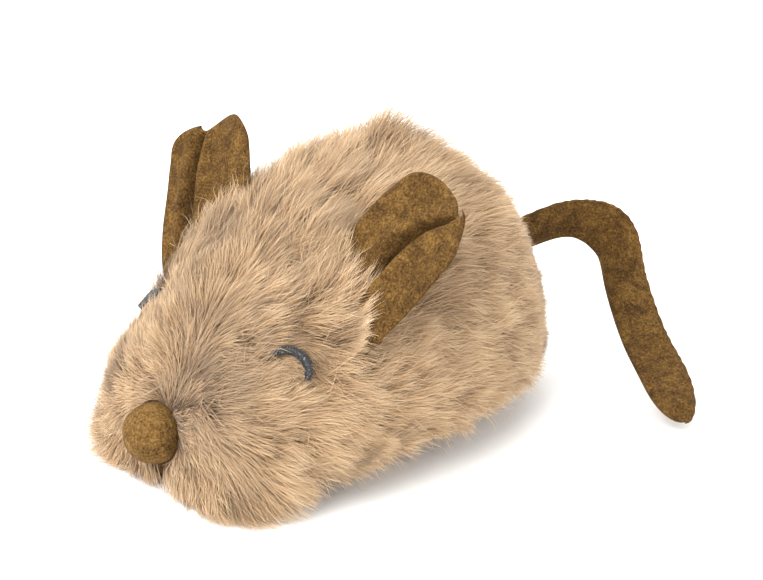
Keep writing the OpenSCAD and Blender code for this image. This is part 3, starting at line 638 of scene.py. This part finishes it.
# Tail: a strip of suede folded in two, sewn along one edge, that twists as it falls
tail = {
    "root": np.array([1.0, skin["rump"], 0.53 * tall + skin["floor"]]),
    "half": 4.55,
    "thick": 2.6,
    "stitch": 2.4,
    "path": np.array([
        [-2, -9, -4], [0, -4, -1], [5, 9.5, 2.9], [10, 15, 2.4], [14.5, 16.5, -1], [20.5, 13, -7.5],
        [31, 6.5, -14.5], [41, 1, -19], [50, -4.5, -22.6], [54, -7, -23],
    ]),
    "sides": np.array([
        [0, -0.3, 1], [0, -0.3, 1], [0.1, -0.3, 1], [0.3, 0.1, 0.9], [0.6, 0.4, 0.7], [0.75, 0.5, 0.4],
        [0.7, 0.65, 0.25], [0.6, 0.75, 0.1], [0.55, 0.8, 0], [0.55, 0.8, 0],
    ]),
}


def curveAt(points, s):
    k = min(max(int(s), 1), len(points) - 3)
    f = s - k
    a, b, c, d = points[k - 1], points[k], points[k + 1], points[k + 2]
    bend = (2 * a - 5 * b + 4 * c - d) * f * f
    return 0.5 * (2 * b + (c - a) * f + bend + (3 * b - a - 3 * c + d) * f ** 3)


def tailPlace(u, v):
    s = 1.05 + 6.95 * v
    centre = curveAt(tail["path"], s)
    ahead = unit(curveAt(tail["path"], min(s + 0.02, 8.0)) - curveAt(tail["path"], min(s, 7.98) - 0.02))
    across = curveAt(tail["sides"], s)
    across = unit(across - (across @ ahead) * ahead)
    flat = np.cross(ahead, across)
    angle = 2 * math.pi * u
    f = max(0.0, (v - 0.83) / 0.17)
    narrowing = max(0.0, 1 - f ** 2.3) ** 0.62
    half = tail["half"] * (0.84 + 0.18 * v + 0.26 * math.exp(-((v - 0.36) / 0.13) ** 2)) * narrowing
    c, sn = math.cos(angle), math.sin(angle)
    x = math.copysign(abs(c) ** 0.8, c) * half
    y = math.copysign(abs(sn) ** 0.75, sn) * tail["thick"] / 2 * narrowing ** 0.5
    along = v * 78
    # The sewn edge puckers between its stitches
    sewn = math.exp(-((c - 1) / 0.25) ** 2)
    x += 0.07 * math.sin(2 * math.pi * along / tail["stitch"] + math.sin(along)) * sewn
    y *= 1 - 0.4 * math.exp(-((c - 0.86) / 0.08) ** 2)
    y += 0.35 * math.sin(along / 5.3 + 2 * c) + 0.5 * c * c * math.sin(along / 8)
    y -= 1.0 * math.exp(-((v - 0.965) / 0.012) ** 2 - (c * 1.8) ** 2) * (sn > 0)
    return tail["root"] + centre + across * x + flat * y


mesh = mappedGrid("tailStrip", 64, 220, tailPlace)
piece = addPiece("tailStrip", mesh, suede)
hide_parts("tail")

# Eyes: closed lids in black satin stitch
eye = {
    "out": unit(np.array([0.559, -0.525, 0.641])),
    "right": unit(np.array([0.685, 0.728, 0.0])),
    "centre": np.array([19.89, -42.88, 22.42]),
    "radius": 3.9,
    "start": -24,
    "sweep": 155,
    "stitches": 46,
    "wide": 1.75,
    "thread": 0.17,
}
eye["up"] = np.cross(eye["out"], eye["right"])
dice = np.random.default_rng(31)


def stitchPlace(sign, angle, turn, wide, lift):
    radial = eye["right"] * math.cos(angle) + eye["up"] * math.sin(angle)
    along = -eye["right"] * math.sin(angle) + eye["up"] * math.cos(angle)
    ahead = radial * math.cos(turn) + along * math.sin(turn)
    beside = np.cross(eye["out"], ahead)
    middle = eye["centre"] + radial * eye["radius"]

    def place(u, v):
        across = math.cos(2 * math.pi * u) * eye["thread"]
        high = math.sin(2 * math.pi * u) * eye["thread"]
        rise = lift + 0.7 * (1 - (2 * v - 1) ** 2) - 0.1
        point = middle + ahead * (v - 0.5) * wide + beside * across + eye["out"] * (high + rise)
        return point * np.array([sign, 1, 1])
    return place


finish, tree, shader = newFinish("rayonThread", {"Roughness": 0.38, "Sheen Weight": 0.2})
coords = addNode(tree, "TexCoord")
place = {"Vector": coords.outputs["Object"]}
# The light grey flecks on the black thread are painted glints of its gloss
glintFleck = addNode(tree, "TexNoise", {"Scale": 1 / (0.3 * mm), "Detail": 2}, place)
threadGlintStops = {"stops": [(0.5, "#0c0c0e"), (0.62, "#232428"), (0.74, "#82878b")]}
tint = addNode(tree, "ValToRGB", threadGlintStops, {"Fac": glintFleck.outputs["Fac"]})
tree.links.new(tint.outputs["Color"], shader.inputs["Base Color"])
for sideName, sign in (("left", 1), ("right", -1)):
    places = []
    for k in range(eye["stitches"]):
        share = (k + 0.5) / eye["stitches"]
        angle = math.radians(eye["start"] + eye["sweep"] * share + dice.normal(0, 0.8))
        fullness = 0.6 + 0.4 * math.sin(math.pi * (k + 1) / (eye["stitches"] + 1)) ** 0.5
        wide = eye["wide"] * fullness * dice.uniform(0.9, 1.1)
        slant = math.radians(18) + dice.normal(0, 0.06)
        places.append(stitchPlace(sign, angle, slant, wide, dice.uniform(0, 0.12)))
    mesh = mappedGrid(sideName + "EyeStitches", 6, 6, *places)
    piece = addPiece(sideName + "EyeStitches", mesh, finish)
    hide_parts("eye_" + sideName)
print("ears, nose, tail and eyes made")

# Belly cloth: the plush's turned-in edge, gathered by a thread round the base plate
belly = {"pleats": 46, "gather": 0.42, "thick": 0.9, "margin": 0.15, "climb": 1.9}
plateMesh = nodes["base_plate"].data
platePoints = [Vector(vert.co.xy) / mm for vert in plateMesh.vertices]
rim = [platePoints[k] for k in geometry.convex_hull_2d(platePoints)]
ringLow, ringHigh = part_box("belly_ring")
bellyHeight = (ringLow.z + ringHigh.z) / 2 / mm
bellyCentre = Vector((0, (ringLow.y + ringHigh.y) / 2 / mm))


def plateReach(way):
    # How far the plate's outline is from the middle, in that direction
    best = 0.0
    for a, b in zip(rim, rim[1:] + rim[:1]):
        hit = geometry.intersect_line_line_2d(bellyCentre, bellyCentre + way * 90, a, b)
        if hit:
            best = max(best, (hit - bellyCentre).length)
    return best


def bellyPlace(u, v):
    angle = 2 * math.pi * u
    outer = skinPoint(stationY(abs(2 * u - 1)), 1.0, 1.0 if u > 0.5 else -1.0, 1.3)
    way = Vector(outer[:2]) - bellyCentre
    reach = plateReach(way.normalized()) + belly["margin"]
    inner = bellyCentre + way.normalized() * reach
    flatPoint = Vector(outer[:2]) * (1 - v) + inner * v
    pleat = math.sin(angle * belly["pleats"] + 1.1 * math.sin(angle * 7))
    z = bellyHeight + belly["gather"] * pleat * (0.25 + 0.75 * v) + belly["climb"] * (1 - v) ** 2
    return (flatPoint.x, flatPoint.y, z)


finish, tree, shader = newFinish("wovenBellyCloth", {"Roughness": 0.95, "Sheen Weight": 0.25})
coords = addNode(tree, "TexCoord")
place = {"Vector": coords.outputs["Object"]}
patch = addNode(tree, "TexNoise", {"Scale": 1 / (6 * mm), "Detail": 3}, place)
# Thread crowns 0.45 mm apart
weave = addNode(tree, "TexVoronoi", {"Scale": 1 / (0.45 * mm)}, place)
clothStops = {"stops": [(0.3, "#8f7455"), (0.7, "#b89a78")]}
tint = addNode(tree, "ValToRGB", clothStops, {"Fac": patch.outputs["Fac"]})
tree.links.new(tint.outputs["Color"], shader.inputs["Base Color"])
raisedThread = {"Strength": 0.8, "Distance": 0.12 * mm}
bump = addNode(tree, "Bump", raisedThread, {"Height": weave.outputs["Distance"]})
tree.links.new(bump.outputs["Normal"], shader.inputs["Normal"])
mesh = mappedGrid("bellyCloth", 552, 12, bellyPlace)
piece = addPiece("bellyCloth", mesh, finish)
wall = piece.modifiers.new("wall", "SOLIDIFY")
wall.thickness = belly["thick"] * mm
wall.offset = 0
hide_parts("belly_ring")
print("belly cloth made")


def mouldedFinish(name, low, high, roughness, grain):
    # Injection-moulded plastic: even colour, and a fine spark-eroded grain from the mould
    finish, tree, shader = newFinish(name, {"Roughness": roughness, "IOR": 1.53})
    coords = addNode(tree, "TexCoord")
    place = {"Vector": coords.outputs["Object"]}
    speck = addNode(tree, "TexNoise", {"Scale": 1 / (grain * mm), "Detail": 3}, place)
    patch = addNode(tree, "TexNoise", {"Scale": 1 / (9 * mm), "Detail": 2}, place)
    tint = addNode(tree, "ValToRGB", {"stops": [(0.35, low), (0.65, high)]}, {"Fac": patch.outputs["Fac"]})
    tree.links.new(tint.outputs["Color"], shader.inputs["Base Color"])
    bump = addNode(tree, "Bump", {"Strength": 0.35, "Distance": 0.05 * mm}, {"Height": speck.outputs["Fac"]})
    tree.links.new(bump.outputs["Normal"], shader.inputs["Normal"])
    return finish


def metalFinish(name, low, high, roughness, stretch):
    # Fine cutting or polishing marks run along one way, and handling dulls the gloss in patches
    finish, tree, shader = newFinish(name, {"Metallic": 1.0})
    coords = addNode(tree, "TexCoord")
    place = {"Vector": coords.outputs["Object"]}
    squeeze = addNode(tree, "Mapping", {"Scale": stretch}, place)
    markLook = {"Scale": 1 / (0.5 * mm), "Detail": 4, "Roughness": 0.7}
    marks = addNode(tree, "TexNoise", markLook, {"Vector": squeeze.outputs["Vector"]})
    patch = addNode(tree, "TexNoise", {"Scale": 1 / (4 * mm), "Detail": 3}, place)
    tint = addNode(tree, "ValToRGB", {"stops": [(0.35, low), (0.65, high)]}, {"Fac": patch.outputs["Fac"]})
    dullRange = {1: 0.3, 2: 0.7, 3: roughness * 0.75, 4: roughness * 1.3}
    dull = addNode(tree, "MapRange", dullRange, {0: patch.outputs["Fac"]})
    tree.links.new(tint.outputs["Color"], shader.inputs["Base Color"])
    tree.links.new(dull.outputs[0], shader.inputs["Roughness"])
    bump = addNode(tree, "Bump", {"Strength": 0.12, "Distance": 0.03 * mm}, {"Height": marks.outputs["Fac"]})
    tree.links.new(bump.outputs["Normal"], shader.inputs["Normal"])
    return finish


# The CAD nodes that stay, each with its real finish
blackAbs = mouldedFinish("mouldedBlackAbs", "#1e1e20", "#29292b", 0.5, 0.18)
whiteAcetal = mouldedFinish("mouldedWhiteAcetal", "#d8d4c6", "#e6e3d8", 0.38, 0.25)
rubber = mouldedFinish("mouldedRubber", "#151515", "#202020", 0.75, 0.12)
brass = metalFinish("cutBrass", "#b98f43", "#d2ab58", 0.28, (1, 8, 8))
nickel = metalFinish("nickelPlatedSteel", "#b9b6ae", "#cfccc4", 0.16, (1, 1, 6))
steel = metalFinish("turnedSteel", "#8f9298", "#b1b4b8", 0.3, (6, 1, 1))
springSteel = metalFinish("blackedSpringSteel", "#3a3d44", "#565a61", 0.35, (6, 1, 1))
nodeFinishes = {
    blackAbs: ["base_plate"],
    whiteAcetal: ["case_left", "case_right", "idler_gear", "hub_left", "hub_right", "roller"],
    rubber: ["tyre_left", "tyre_right"],
    brass: ["great_wheel", "middle_wheel", "middle_pinion", "drive_pinion", "flywheel"],
    nickel: ["key_eyelet", "winding_key"],
    steel: ["winding_arbor", "ratchet_wheel", "click", "middle_arbor", "idler_pin", "governor_pinion", "drive_axle",
            "roller_axle", "base_screw_1", "base_screw_2", "base_screw_3", "base_screw_4",
            "case_screw_1", "case_screw_2", "case_screw_3", "case_screw_4"],
    springSteel: ["mainspring"],
}
for finish, names in nodeFinishes.items():
    for name in names:
        for holder in nodes[name].material_slots:
            holder.material = finish
print("CAD nodes finished")

# Floor and lights
floorMesh = bpy.data.meshes.new("floor")
bm = bmesh.new()
bmesh.ops.create_grid(bm, x_segments=1, y_segments=1, size=3)
bmesh.ops.translate(bm, verts=bm.verts, vec=(0, 0, skin["floor"] * mm))
bm.to_mesh(floorMesh)
bm.free()
finish, tree, shader = newFinish("paintedFloor", {"Roughness": 0.8, "Base Color": hexColour("#f4f3f1")})
floorObject = bpy.data.objects.new("floor", floorMesh)
bpy.context.scene.collection.objects.link(floorObject)
floorMesh.materials.append(finish)

lamps = [
    # name, place and aim in millimetres, size, watts
    ("keyLight", (20, -460, 360), (0, -10, 15), 0.6, 6.5),
    ("fillLight", (520, 60, 220), (0, -5, 15), 0.6, 2.0),
    ("rimLight", (-260, 380, 420), (0, 10, 25), 0.5, 3.0),
]
for name, place, aim, size, watts in lamps:
    lamp = bpy.data.lights.new(name, "AREA")
    lamp.energy = watts
    lamp.size = size
    holder = bpy.data.objects.new(name, lamp)
    bpy.context.scene.collection.objects.link(holder)
    holder.location = Vector(place) * mm
    holder.rotation_euler = (Vector(place) - Vector(aim)).to_track_quat("Z", "Y").to_euler()
world = bpy.data.worlds.new("softbox")
bpy.context.scene.world = world
world.use_nodes = True
world.node_tree.nodes["Background"].inputs["Color"].default_value = (1, 1, 1, 1)
world.node_tree.nodes["Background"].inputs["Strength"].default_value = 0.85
